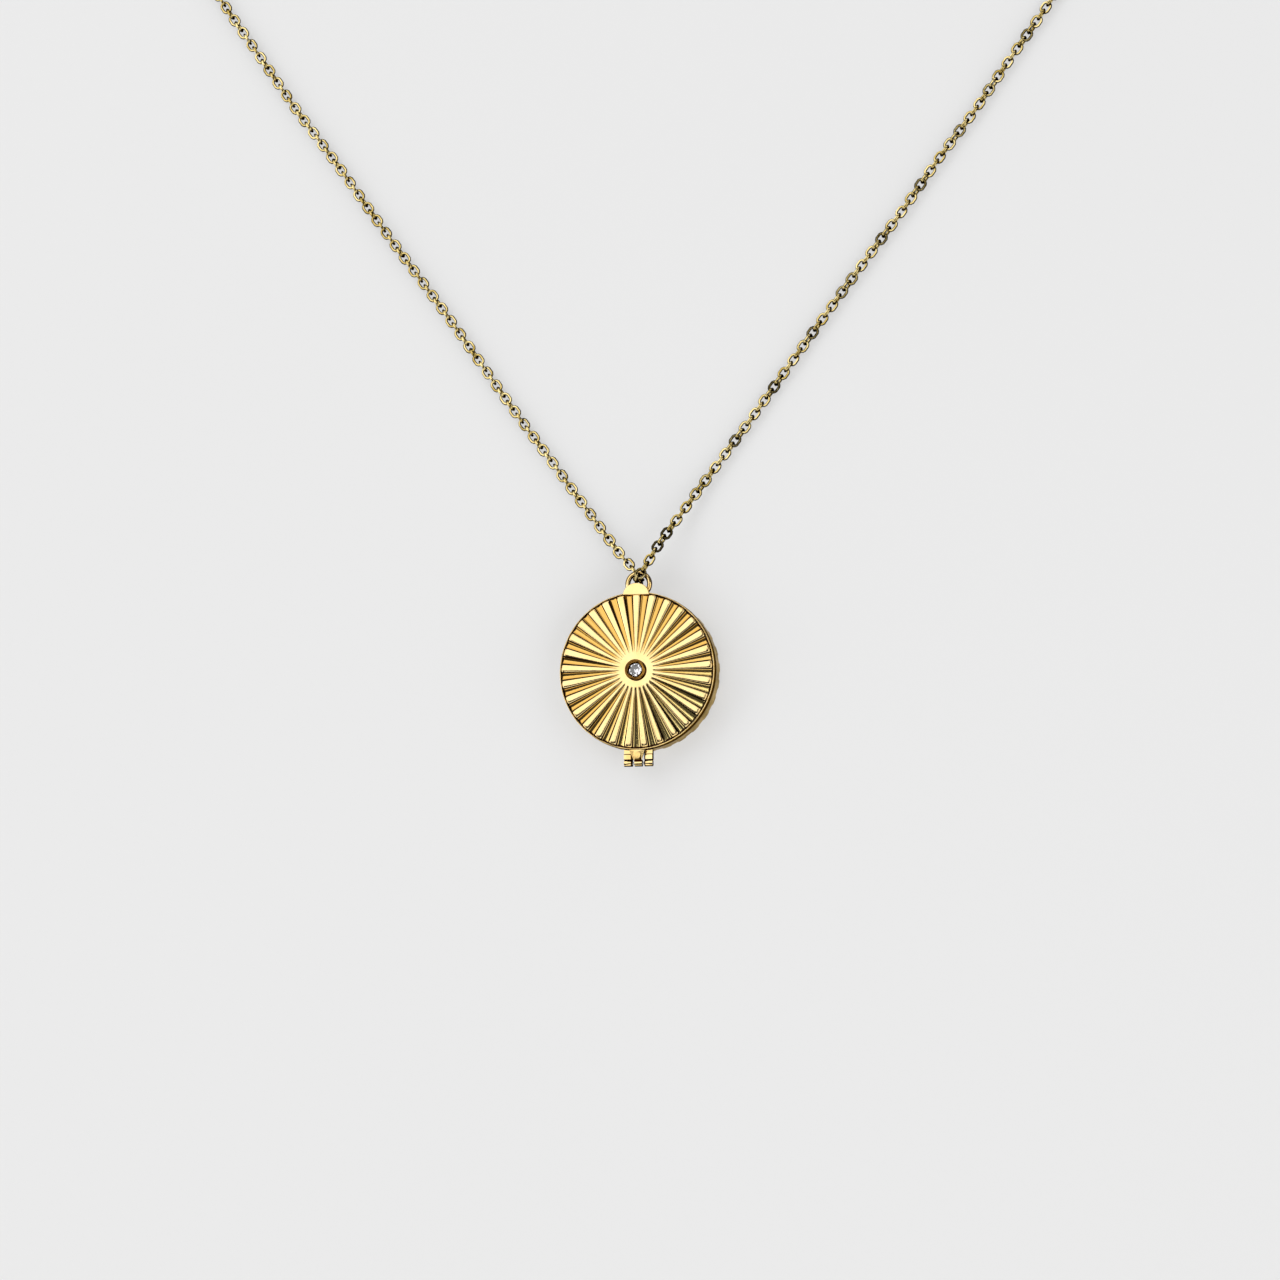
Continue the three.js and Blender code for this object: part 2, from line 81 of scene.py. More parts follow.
# ---- Camera: nearly straight above, leaning to the lower right ----
def set_camera():
    lean = math.radians(15)
    towards = Vector((0.87, -0.493, 0)).normalized()
    back = towards * math.sin(lean) + UP * math.cos(lean)
    up = Vector((0, 1, 0))
    up = (up - back * up.dot(back)).normalized()
    right = up.cross(back)
    lens = bpy.data.cameras.new("camera")
    lens.lens = 150
    lens.sensor_width = 36
    lens.clip_start = 0.01
    lens.clip_end = 10
    camera = bpy.data.objects.new("camera", lens)
    scene.collection.objects.link(camera)
    aim = Vector((0.53, 3.83, 4.78)) * MM
    turn = Matrix((right, up, back)).transposed().to_4x4()
    camera.matrix_world = Matrix.Translation(aim + back * 0.6751) @ turn
    scene.camera = camera


set_camera()


# ---- Finishes ----
def paint(code):
    """A screen colour such as "e0b060" as the linear values that a shader wants."""
    parts = [int(code[i : i + 2], 16) / 255 for i in (0, 2, 4)]
    return [p / 12.92 if p <= 0.04045 else ((p + 0.055) / 1.055) ** 2.4 for p in parts] + [1.0]


def node(tree, kind, feeds=None, **settings):
    """Adds a node, sets it, and feeds its sockets with values or with other nodes' outputs."""
    made = tree.nodes.new(kind)
    for name, value in settings.items():
        setattr(made, name, value)
    for socket, value in (feeds or {}).items():
        if isinstance(value, bpy.types.NodeSocket):
            tree.links.new(value, made.inputs[socket])
        else:
            made.inputs[socket].default_value = value
    return made


def new_finish(name):
    """An empty material with its shader and its output joined up."""
    finish = bpy.data.materials.new(name)
    finish.use_nodes = True
    tree = finish.node_tree
    tree.nodes.clear()
    shader = node(tree, "ShaderNodeBsdfPrincipled")
    node(tree, "ShaderNodeOutputMaterial", {"Surface": shader.outputs["BSDF"]})
    return finish, tree, shader


def plated_gold(
    name, bright, deep, shine, dull, hairlines, glance="d8b468", painted_shade=None, side_shade_range=(0.4, 0.88), shaded_inner_edge=0
):
    """Gold plate: a warm metal, a little redder and duller in random patches, with painted shade laid on
    where asked, and on the flutes painted light too.
    """
    finish, tree, shader = new_finish(name)
    shader.inputs["Metallic"].default_value = 1.0
    # Seen at a slant it stays gold instead of turning white.
    shader.inputs["Specular Tint"].default_value = paint(glance)
    place = node(tree, "ShaderNodeTexCoord").outputs["Object"]
    # Cloudy tone, about 2 mm across: the plate is thinner in places.
    cloud = node(tree, "ShaderNodeTexNoise", {"Vector": place, "Scale": 500.0, "Detail": 3.0})
    tone = node(tree, "ShaderNodeValToRGB", {"Fac": cloud.outputs["Fac"]})
    tone.color_ramp.elements[0].position = 0.35
    tone.color_ramp.elements[0].color = paint(deep)
    tone.color_ramp.elements[1].position = 0.6
    tone.color_ramp.elements[1].color = paint(bright)
    colour = tone.outputs["Color"]
    # Painted shade: in the flute grooves together with painted light, beside the seam, or on the upright
    # sides.
    if painted_shade == "grooves":
        colour = flute_painted_shade_and_light(tree, place, colour)
    elif painted_shade == "seam":
        colour = seam_painted_shade(tree, place, colour, 3.0 * MM, 3.15 * MM)
    elif painted_shade:
        colour = painted_side_shade(tree, colour, paint(painted_shade), *side_shade_range)
    if shaded_inner_edge:
        # Painted shade on the plate's edge nearest the middle, where it stands against its neighbour.
        across = node(tree, "ShaderNodeSeparateXYZ", {0: place}).outputs["X"]
        clear = between(tree, sums(tree, "ABSOLUTE", across), shaded_inner_edge, shaded_inner_edge + 0.06 * MM)
        colour = mixed(tree, clear, paint(painted_shade), colour)
    tree.links.new(colour, shader.inputs["Base Color"])
    # Handling marks, about 0.4 mm across, change the shine.
    marks = node(tree, "ShaderNodeTexNoise", {"Vector": place, "Scale": 2500.0, "Detail": 5.0})
    gloss = node(
        tree,
        "ShaderNodeMapRange",
        {"Value": marks.outputs["Fac"], "From Min": 0.35, "From Max": 0.7, "To Min": shine, "To Max": dull},
    )
    tree.links.new(gloss.outputs["Result"], shader.inputs["Roughness"])
    # Polishing hairlines, 0.05 mm apart, drawn coarser than they are so that they show.
    stretch = node(tree, "ShaderNodeMapping", {"Vector": place, "Scale": (1.0, 12.0, 1.0)})
    lines = node(tree, "ShaderNodeTexNoise", {"Vector": stretch.outputs["Vector"], "Scale": 1800.0})
    bump = node(
        tree,
        "ShaderNodeBump",
        {"Height": lines.outputs["Fac"], "Strength": hairlines, "Distance": 0.02 * MM},
    )
    tree.links.new(bump.outputs["Normal"], shader.inputs["Normal"])
    return finish


def mixed(tree, share, under, over):
    """One colour laid over another by a share."""
    mix = node(tree, "ShaderNodeMix", data_type="RGBA")
    for socket, value in ((0, share), (6, under), (7, over)):
        if isinstance(value, bpy.types.NodeSocket):
            tree.links.new(value, mix.inputs[socket])
        else:
            mix.inputs[socket].default_value = value
    return mix.outputs[2]


def between(tree, value, start, end):
    """Runs from 0 to 1 while a value goes from start to end."""
    ramp = node(
        tree, "ShaderNodeMapRange", {"Value": value, "From Min": start, "From Max": end}, clamp=True
    )
    return ramp.outputs["Result"]


def sums(tree, operation, first, second=0.0):
    """One step of arithmetic."""
    return node(tree, "ShaderNodeMath", {0: first, 1: second}, operation=operation).outputs[0]


def painted_side_shade(tree, colour, dark, start, end):
    """Painted shade: the upright sides are painted in the dark colour; the top and the underside keep the
    bright colour.
    """
    normal = node(tree, "ShaderNodeTexCoord").outputs["Normal"]
    upright = node(tree, "ShaderNodeSeparateXYZ", {0: normal}).outputs["Z"]
    share = between(tree, sums(tree, "ABSOLUTE", upright), start, end)
    return mixed(tree, share, dark, colour)


def out_from_axis(tree, place):
    """How far a point stands from the locket's axis."""
    level = node(tree, "ShaderNodeVectorMath", {0: place, 1: (1, 1, 0)}, operation="MULTIPLY")
    return node(tree, "ShaderNodeVectorMath", {0: level.outputs[0]}, operation="LENGTH").outputs["Value"]


def flute_painted_shade_and_light(tree, place, colour):
    """Painted shade and light on the flutes: a deeper, warm gold on the groove floors, partly own tone and
    partly painted shade, and dark brown painted shade along the ridges' feet.
    """
    spot = node(tree, "ShaderNodeSeparateXYZ", {0: place})
    turn = sums(tree, "ARCTAN2", spot.outputs["Y"], spot.outputs["X"])
    flutes = sums(tree, "MULTIPLY", turn, FLUTES / (2 * math.pi))
    # From 0 on the middle of a ridge to 0.5 in the middle of a groove.
    across = sums(tree, "PINGPONG", sums(tree, "SUBTRACT", flutes, FLUTES / 4), 0.5)
    radius = out_from_axis(tree, place)
    # Across the flute: ridge colour, a dark line painted as shade at the ridge's foot, then the groove floor,
    # partly own tone and partly painted shade.
    floor = node(tree, "ShaderNodeValToRGB", {"Fac": across})
    marks = [(0.20, "e8cd92"), (0.235, "2a1706"), (0.275, "4a2c0c"), (0.32, "c09448"), (0.5, "cea658")]
    stops = floor.color_ramp.elements
    while len(stops) < len(marks):
        stops.new(0.5)
    for stop, (position, code) in zip(stops, marks):
        stop.position = position
        stop.color = paint(code)
    ridge = between(tree, across, 0.19, 0.215)
    fade_in = between(tree, radius, 2.2 * MM, 3.6 * MM)
    above = between(tree, spot.outputs["Z"], 4.17 * MM, 4.19 * MM)
    inside = between(tree, radius, 9.95 * MM, 9.92 * MM)
    top = sums(tree, "MULTIPLY", above, inside)
    share = sums(tree, "MULTIPLY", sums(tree, "MULTIPLY", ridge, fade_in), top)
    # Painted light: on the lower-right side the groove floors are painted lighter.
    side = node(tree, "ShaderNodeVectorMath", {0: place, 1: (0.55, -0.83, 0)}, operation="DOT_PRODUCT")
    painted_lit_side = between(tree, side.outputs["Value"], 2 * MM, 9 * MM)
    lit_groove_tone = mixed(tree, between(tree, across, 0.27, 0.33), paint("4a2c0c"), paint("e6cf88"))
    depth = mixed(tree, painted_lit_side, floor.outputs["Color"], lit_groove_tone)
    colour = mixed(tree, share, colour, depth)
    # Painted shade also darkens the corner at the outer end of each groove.
    reach = sums(tree, "ADD", radius, sums(tree, "MULTIPLY", across, 0.5 * MM))
    end = sums(tree, "MULTIPLY", between(tree, reach, 9.84 * MM, 9.91 * MM), top)
    colour = mixed(tree, end, colour, paint("2a1706"))
    return seam_painted_shade(tree, place, colour, 4.3 * MM, 4.2 * MM)


def seam_painted_shade(tree, place, colour, clean, dark):
    """Painted shade: the wall beside the seam is painted dark brown, from one height to another."""
    spot = node(tree, "ShaderNodeSeparateXYZ", {0: place})
    radius = out_from_axis(tree, place)
    wall = between(tree, radius, 9.99 * MM, 10.02 * MM)
    share = sums(tree, "MULTIPLY", wall, between(tree, spot.outputs["Z"], clean, dark))
    return mixed(tree, share, colour, paint("3a2208"))


# Bright and deep tone, polished and dull roughness, hairlines, tone at a slant, painted shade.
POLISHED_GOLD = plated_gold("polished_gold_plate", "e8cd92", "e2c384", 0.05, 0.12, 0.15)
# Painted shade in the grooves and beside the seam, and painted light on the lower-right grooves.
COVER_GOLD = plated_gold(
    "polished_gold_with_painted_groove_shade_and_light", "e8cd92", "e2c384", 0.05, 0.12, 0.1, painted_shade="grooves"
)
# Painted shade on the case wall below the seam.
CASE_GOLD = plated_gold(
    "tumbled_case_gold_with_painted_seam_shade", "d4bf92", "8a7648", 0.14, 0.3, 0.6, glance="d8c8a8", painted_shade="seam"
)
# The next four finishes get painted shade in their dark colour on their upright sides.
HINGE_GOLD = plated_gold(
    "gold_plate_with_painted_side_shade", "e8cd92", "dcb974", 0.08, 0.16, 0.2,
    glance="5a3e14", painted_shade="3a2208", side_shade_range=(0.5, 0.92),
)
LEAF_GOLD = plated_gold(
    "leaf_gold_with_painted_side_and_edge_shade", "e8cd92", "dcb974", 0.08, 0.16, 0.2,
    glance="5a3e14", painted_shade="3a2208", side_shade_range=(0.5, 0.92), shaded_inner_edge=0.93 * MM,
)
COLLET_GOLD = plated_gold(
    "dark_collet_gold_with_painted_side_shade", "9a7030", "5c3e18", 0.12, 0.25, 0.3, glance="5a3e14", painted_shade="2a1808"
)
CHAIN_GOLD = plated_gold(
    "chain_gold_with_painted_side_shade", "dcc88c", "a8904c", 0.08, 0.18, 0.3,
    glance="5a4418", painted_shade="30200a", side_shade_range=(0.6, 0.97),
)
CLASP_GOLD = plated_gold("tumbled_clasp_gold", "dcbe80", "cba968", 0.14, 0.24, 0.4)


def drawn_steel():
    """Hard-drawn spring wire: grey, mottled about 0.25 mm across."""
    finish, tree, shader = new_finish("drawn_spring_steel")
    shader.inputs["Metallic"].default_value = 1.0
    place = node(tree, "ShaderNodeTexCoord").outputs["Object"]
    grain = node(tree, "ShaderNodeTexNoise", {"Vector": place, "Scale": 4000.0, "Detail": 2.0})
    tone = node(tree, "ShaderNodeValToRGB", {"Fac": grain.outputs["Fac"]})
    tone.color_ramp.elements[0].color = paint("8f8f8c")
    tone.color_ramp.elements[1].color = paint("c9c8c4")
    tree.links.new(tone.outputs["Color"], shader.inputs["Base Color"])
    rough = node(tree, "ShaderNodeMapRange", {"Value": grain.outputs["Fac"], "To Min": 0.2, "To Max": 0.4})
    tree.links.new(rough.outputs["Result"], shader.inputs["Roughness"])
    return finish


def cut_stone():
    """Cubic zirconia: clear, with a high index that makes its facets flash."""
    finish, tree, shader = new_finish("cubic_zirconia")
    shader.inputs["Base Color"].default_value = paint("fbfaff")
    shader.inputs["Roughness"].default_value = 0.01
    shader.inputs["IOR"].default_value = 2.15
    shader.inputs["Transmission Weight"].default_value = 1.0
    place = node(tree, "ShaderNodeTexCoord").outputs["Object"]
    polish = node(tree, "ShaderNodeTexNoise", {"Vector": place, "Scale": 3000.0})
    bump = node(
        tree, "ShaderNodeBump", {"Height": polish.outputs["Fac"], "Strength": 0.02, "Distance": 0.01 * MM}
    )
    tree.links.new(bump.outputs["Normal"], shader.inputs["Normal"])
    return finish


def clear_sheet():
    """Cellulose acetate sheet: clear, faintly rippled, glossy."""
    finish, tree, shader = new_finish("clear_acetate")
    shader.inputs["Base Color"].default_value = paint("f6f8f8")
    shader.inputs["Roughness"].default_value = 0.04
    shader.inputs["IOR"].default_value = 1.48
    shader.inputs["Transmission Weight"].default_value = 1.0
    place = node(tree, "ShaderNodeTexCoord").outputs["Object"]
    ripple = node(tree, "ShaderNodeTexNoise", {"Vector": place, "Scale": 250.0, "Detail": 1.0})
    bump = node(
        tree, "ShaderNodeBump", {"Height": ripple.outputs["Fac"], "Strength": 0.1, "Distance": 0.05 * MM}
    )
    tree.links.new(bump.outputs["Normal"], shader.inputs["Normal"])
    return finish


def photo_card():
    """Blank uncoated card: off-white, matt, with fibres about 0.5 mm long."""
    finish, tree, shader = new_finish("uncoated_card")
    shader.inputs["Roughness"].default_value = 0.85
    place = node(tree, "ShaderNodeTexCoord").outputs["Object"]
    fibre = node(tree, "ShaderNodeTexNoise", {"Vector": place, "Scale": 2000.0, "Detail": 6.0})
    tone = node(tree, "ShaderNodeValToRGB", {"Fac": fibre.outputs["Fac"]})
    tone.color_ramp.elements[0].position = 0.3
    tone.color_ramp.elements[0].color = paint("dcd5c4")
    tone.color_ramp.elements[1].position = 0.7
    tone.color_ramp.elements[1].color = paint("efe9dc")
    tree.links.new(tone.outputs["Color"], shader.inputs["Base Color"])
    bump = node(
        tree, "ShaderNodeBump", {"Height": fibre.outputs["Fac"], "Strength": 0.3, "Distance": 0.02 * MM}
    )
    tree.links.new(bump.outputs["Normal"], shader.inputs["Normal"])
    return finish


SPRING_STEEL = drawn_steel()
STONE = cut_stone()
ACETATE = clear_sheet()
CARD = photo_card()


# ---- Bench work ----
def put_down():
    """Leaves edit mode with nothing selected."""
    if bpy.context.mode != "OBJECT":
        bpy.ops.object.mode_set(mode="OBJECT")
    bpy.ops.object.select_all(action="DESELECT")


def pick_up(name, add, **how):
    """Adds a primitive at its size and place, and opens it for shaping."""
    put_down()
    add(**how)
    piece = bpy.context.object
    piece.name = name
    piece.data.name = name
    bpy.ops.object.transform_apply(location=True, rotation=True, scale=True)
    bpy.ops.object.mode_set(mode="EDIT")
    bpy.ops.mesh.select_all(action="SELECT")
    return piece


def pick(piece, kind, wanted):
    """Selects the corners, edges or faces that answer to a test."""
    bpy.ops.mesh.select_mode(type=kind)
    bpy.ops.mesh.select_all(action="DESELECT")
    shell = bmesh.from_edit_mesh(piece.data)
    for item in {"VERT": shell.verts, "EDGE": shell.edges, "FACE": shell.faces}[kind]:
        if wanted(item):
            item.select_set(True)
    shell.select_flush_mode()
    bmesh.update_edit_mesh(piece.data)


def draw(name, corners, closed=True):
    """Draws a line of corners, in millimetres, by extruding a point."""
    corners = [Vector(c) * MM for c in corners]
    piece = pick_up(name, bpy.ops.mesh.primitive_plane_add, size=MM, location=corners[0])
    bpy.ops.mesh.merge(type="CENTER")
    bpy.ops.mesh.select_mode(type="VERT")
    for here, there in zip(corners, corners[1:]):
        bpy.ops.mesh.extrude_vertices_move(TRANSFORM_OT_translate={"value": there - here})
    if closed:
        ends = (corners[0], corners[-1])
        pick(piece, "VERT", lambda v: min((v.co - e).length for e in ends) < TOUCH)
        bpy.ops.mesh.edge_face_add()
    bpy.ops.mesh.select_all(action="SELECT")
    return piece


def carry_round(angle, steps=1, copies=False):
    """Spins what is selected about the locket's axis, anticlockwise from above."""
    bpy.ops.mesh.spin(steps=steps, angle=angle, center=(0, 0, 0), axis=(0, 0, -1), dupli=copies)


def tidy_up():
    """Joins meeting corners and turns all faces outwards."""
    bpy.ops.mesh.select_mode(type="VERT")
    bpy.ops.mesh.select_all(action="SELECT")
    bpy.ops.mesh.remove_doubles(threshold=TOUCH)
    bpy.ops.mesh.dissolve_degenerate(threshold=TOUCH / 10)
    bpy.ops.mesh.select_all(action="SELECT")
    bpy.ops.mesh.normals_make_consistent(inside=False)


def work(piece, kind, **settings):
    """Adds a modifier to a piece and applies it."""
    put_down()
    piece.select_set(True)
    bpy.context.view_layer.objects.active = piece
    tool = piece.modifiers.new(kind.lower(), kind)
    for name, value in settings.items():
        setattr(tool, name, value)
    bpy.ops.object.modifier_apply(modifier=tool.name)


def cut_with(piece, cutter, operation="DIFFERENCE"):
    """Cuts one solid from another, or joins it on, and throws the tool away."""
    work(piece, "BOOLEAN", object=cutter, operation=operation, solver="EXACT")
    bpy.data.objects.remove(cutter)


def ease_edges(piece, width, segments=2, angle=30):
    """Rounds the sharp edges."""
    work(
        piece,
        "BEVEL",
        width=width * MM,
        segments=segments,
        limit_method="ANGLE",
        angle_limit=math.radians(angle),
        use_clamp_overlap=True,
    )


def hand_over(piece, finish, body, *stands_for, angle=30, flats=False):
    """Smooths a finished piece, keeping its flats flat if wanted, and hangs it on its body."""
    put_down()
    piece.select_set(True)
    bpy.context.view_layer.objects.active = piece
    bpy.ops.object.shade_smooth_by_angle(angle=math.radians(angle))
    if flats:
        work(piece, "WEIGHTED_NORMAL", keep_sharp=True)
    piece.data.materials.clear()
    piece.data.materials.append(finish)
    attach(piece, body)
    if stands_for:
        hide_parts(*stands_for)
    return piece


def turned(name, outline, steps):
    """A piece turned on a lathe from an outline of [radius, height]."""
    piece = draw(name, [(r, 0, z) for r, z in outline])
    carry_round(2 * math.pi, steps)
    tidy_up()
    return piece


def sawn(name, outline, start, end, axis):
    """A plate of one outline, sawn out and given its thickness along an axis."""
    at = {"X": lambda a, b: (start, a, b), "Z": lambda a, b: (a, b, start)}[axis]
    piece = draw(name, [at(a, b) for a, b in outline])
    bpy.ops.mesh.edge_face_add()
    run = (end - start) * MM
    by = (run, 0, 0) if axis == "X" else (0, 0, run)
    bpy.ops.mesh.extrude_region_move(TRANSFORM_OT_translate={"value": by})
    tidy_up()
    return piece


# ---- Chain ----
LEFT_ROUTE = [
    (-1.25, 13.55, 1.45), (-2.75, 15.2, 1.2), (-4.2, 17.1, 1.0), (-7.35, 21.35, 0.8),
    (-12.2, 28.0, 0.75), (-17.1, 34.7, 0.75), (-21.8, 41.4, 0.75), (-26.6, 48.2, 0.75),
    (-31.6, 55.0, 0.75), (-36.6, 61.9, 0.75), (-41.5, 68.8, 0.75), (-46.6, 75.7, 0.75),
    (-51.4, 82.7, 0.75), (-56.2, 89.7, 0.75), (-60.4, 96.6, 0.75), (-63.0, 104.0, 0.75),
    (-63.4, 111.8, 0.75), (-61.5, 119.4, 0.75), (-57.3, 126.4, 0.75), (-51.2, 132.2, 0.75),
    (-43.6, 136.6, 0.75), (-35.0, 139.5, 0.75), (-25.8, 141.2, 0.75), (-16.5, 141.9, 0.75),
    (-10.4, 142.0, 0.75),
]
RIGHT_ROUTE = [
    (1.2, 13.6, 3.9), (2.0, 15.2, 3.4), (3.2, 17.3, 2.6), (4.95, 19.9, 1.85), (7.25, 23.2, 1.2),
    (10.2, 27.2, 0.85), (15.0, 33.5, 0.75), (19.6, 39.7, 0.75), (24.3, 46.0, 0.75), (29.1, 52.3, 0.75),
    (33.9, 58.5, 0.75), (38.5, 64.8, 0.75), (43.3, 71.0, 0.75), (47.8, 77.3, 0.75), (52.3, 83.5, 0.75),
    (56.6, 90.0, 0.75), (60.0, 97.2, 0.75), (61.7, 104.9, 0.75), (61.3, 112.7, 0.75), (58.7, 120.1, 0.75),
    (54.1, 126.7, 0.75), (47.8, 132.1, 0.75), (40.2, 136.3, 0.75), (31.6, 139.3, 0.75), (22.6, 141.2, 0.75),
    (14.0, 142.0, 0.75), (8.9, 142.0, 0.75),
]
# The last links climb from the table to the ring that they hook on.
LEFT_CLIMB = [(-9.3, 142.0, 0.76), (-8.38, 142.0, 0.87), (-7.43, 142.0, 1.165)]
RIGHT_CLIMB = [(7.7, 142.0, 0.76), (6.66, 142.0, 0.87), (5.71, 142.0, 1.165)]


def smooth_line(points, per_span=24):
    """A smooth line through points, as a fine row of points."""
    points = [Vector(p) for p in points]
    points = [2 * points[0] - points[1], *points, 2 * points[-1] - points[-2]]
    line = []
    for a, b, c, d in zip(points, points[1:], points[2:], points[3:]):
        for i in range(per_span):
            t = i / per_span
            bow = (2 * a - 5 * b + 4 * c - d) * t**2
            twist = (3 * b - a - 3 * c + d) * t**3
            line.append(0.5 * (2 * b + (c - a) * t + bow + twist))
    return [*line, points[-2]]


def evenly(line, count):
    """That many steps of one length along a line."""
    far = [0.0]
    for a, b in zip(line, line[1:]):
        far.append(far[-1] + (b - a).length)
    spots = []
    k = 0
    for i in range(count + 1):
        want = far[-1] * i / count
        while k < len(far) - 2 and far[k + 1] < want:
            k += 1
        share = (want - far[k]) / (far[k + 1] - far[k])
        spots.append(line[k].lerp(line[k + 1], share))
    return spots, far[-1]


def bend_link(name, wire, length, rounds, sides):
    """One oval link of round wire, lying flat with its long way along X."""
    link = pick_up(
        name,
        bpy.ops.mesh.primitive_torus_add,
        major_radius=(LINK_W / 2 - wire) * MM,
        minor_radius=wire * MM,
        major_segments=rounds,
        minor_segments=sides,
        rotation=(0, 0, math.pi / rounds),
    )
    pull = (length - LINK_W) / 2 * MM
    for side in (-1, 1):
        pick(link, "VERT", lambda v: v.co.x * side > 0)
        bpy.ops.transform.translate(value=(side * pull, 0, 0))
    put_down()
    return link


def set_down(link, name, centre, long, wide):
    """A copy of a link with its middle, long way and wide way as given."""
    x = long.normalized()
    y = (wide - x * wide.dot(x)).normalized()
    turn = Matrix((x, y, x.cross(y))).transposed().to_4x4()
    copy = bpy.data.objects.new(name, link.data.copy())
    copy.data.name = name
    scene.collection.objects.link(copy)
    copy.data.transform(Matrix.Translation(centre * MM) @ turn)
    return copy


def chain_half(link, name, second, route, climb):
    """Half of the chain, its links turned by a quarter from one to the next."""
    line = smooth_line([second, *route, *climb])
    length = sum((b - a).length for a, b in zip(line, line[1:]))
    count = 2 * round(length / CHAIN_PITCH / 2)
    spots, length = evenly(line, count)
    copies = []
    for i in range(1, count + 1):
        before = spots[i - 1]
        after = spots[min(i + 1, count)]
        along = (after - before).normalized()
        across = UP.cross(along).normalized()
        turn = math.radians(90 * (i % 2) + (0 if i in (1, count) else 9 * math.sin(2.3 * i)))
        wide = across * math.cos(turn) + along.cross(across) * math.sin(turn)
        copies.append(set_down(link, f"{name}_{i}", spots[i], along, wide))
    put_down()
    for copy in copies:
        copy.select_set(True)
    bpy.context.view_layer.objects.active = copies[0]
    bpy.ops.object.join()
    half = bpy.context.object
    half.name = name
    half.data.name = name
    return half, spots, length


def bail_links(link):
    """The link that hangs in the bail and two more each side, and where the second ones lie."""
    apex = Vector((0, BAIL_Y + BAIL_R - APEX_DROP, BAIL_Z))
    hang = LINK_L / 2 - LINK_WIRE_R
    grip = hang - 2 * LINK_WIRE_R - LINK_SLACK
    made = [set_down(link, "apex_link", apex, UP, Vector((1, 0, 0)))]
    hand_over(made[0], CHAIN_GOLD, "case", "chain_link_apex", angle=60)
    ends = {}
    for side, lift in (("left", -1), ("right", 1)):
        lean = Vector((lift * 0.34, 0.94, 0))
        rise = lean * math.cos(LINK_STEEP) + UP * lift * math.sin(LINK_STEEP)
        first = apex + UP * lift * grip + rise * hang
        fall = Vector((lift * 0.57, 0.82, 0)) * math.cos(LINK_FALL) - UP * math.sin(LINK_FALL)
        second = first + rise * grip + fall * hang
        one = set_down(link, f"{side}_link_1", first, rise, lean)
        two = set_down(link, f"{side}_link_2", second, fall, Vector((-lift * 0.82, 0.57, 0)))
        hand_over(one, CHAIN_GOLD, "case", f"chain_link_{side}_1", angle=60)
        hand_over(two, CHAIN_GOLD, "case", f"chain_link_{side}_2", angle=60)
        ends[side] = (second, [one, two])
    return made, ends


fine_link = bend_link("fine_link", LINK_WIRE_R, LINK_L, 28, 10)
small_link = bend_link("small_link", CHAIN_WIRE_R, CHAIN_LINK_L, 12, 6)
apex_pieces, bail_ends = bail_links(fine_link)
left_half, left_spots, left_length = chain_half(
    small_link, "left_chain_links", bail_ends["left"][0], LEFT_ROUTE, LEFT_CLIMB
)
right_half, right_spots, right_length = chain_half(
    small_link, "right_chain_links", bail_ends["right"][0], RIGHT_ROUTE, RIGHT_CLIMB
)
hand_over(left_half, CHAIN_GOLD, "case", "chain_left", angle=60)
hand_over(right_half, CHAIN_GOLD, "case", "chain_right", angle=60)
bpy.data.objects.remove(fine_link)
bpy.data.objects.remove(small_link)
print("chain lengths in mm", round(left_length, 1), round(right_length, 1))


# ---- Fluted shells ----
FLUTE = 2 * math.pi / FLUTES
# Across one flute, from groove to groove: groove floor, foot, edge, shoulder and crest of the ridge.
COLUMNS = [0, 0.13, 0.215, 0.26, 0.33, 0.5, 0.67, 0.74, 0.785, 0.87, 1]
CREST = (0.5,)
SHOULDERS = (0.33, 0.67)
EDGES = (0.26, 0.74)
HOLLOW = (0, 1)
FLOOR = (0, 0.13, 0.87, 1)
FEET = (0.215, 0.785)


def push(piece, station, columns, out, up):
    """Moves the corners of one ring that stand on some columns of the flute."""
    r, z = station
    for column in columns:
        at = Vector((math.cos(column * FLUTE), math.sin(column * FLUTE), 0))
        spot = (at * r + UP * z) * MM
        pick(piece, "VERT", lambda v: (v.co - spot).length < 5 * TOUCH)
        bpy.ops.transform.translate(value=(at * out + UP * up) * MM)


def one_flute(name, outline, moves, closed=True):
    """One flute of a shell: its outline carried round, and its rings pushed into ridge and groove."""
    piece = draw(name, [(r, 0, z) for r, z in outline], closed)
    for here, there in zip(COLUMNS, COLUMNS[1:]):
        carry_round((there - here) * FLUTE)
    for station, columns, out, up in moves:
        push(piece, station, columns, out, up)
    return piece


def all_round(piece):
    """Sets the flutes side by side all round, one ridge pointing at the bail."""
    bpy.ops.mesh.select_all(action="SELECT")
    bpy.ops.transform.rotate(
        value=-(math.pi / 2 - FLUTE / 2), orient_axis="Z", center_override=(0, 0, 0)
    )
    carry_round(2 * math.pi - FLUTE, FLUTES - 1, copies=True)
    tidy_up()
    work(piece, "SUBSURF", levels=1, render_levels=1)
    # What is still open in the middle of a plain face is closed flat.
    bpy.ops.object.mode_set(mode="EDIT")
    bpy.ops.mesh.select_all(action="SELECT")
    bpy.ops.mesh.fill_holes(sides=0)
    put_down()


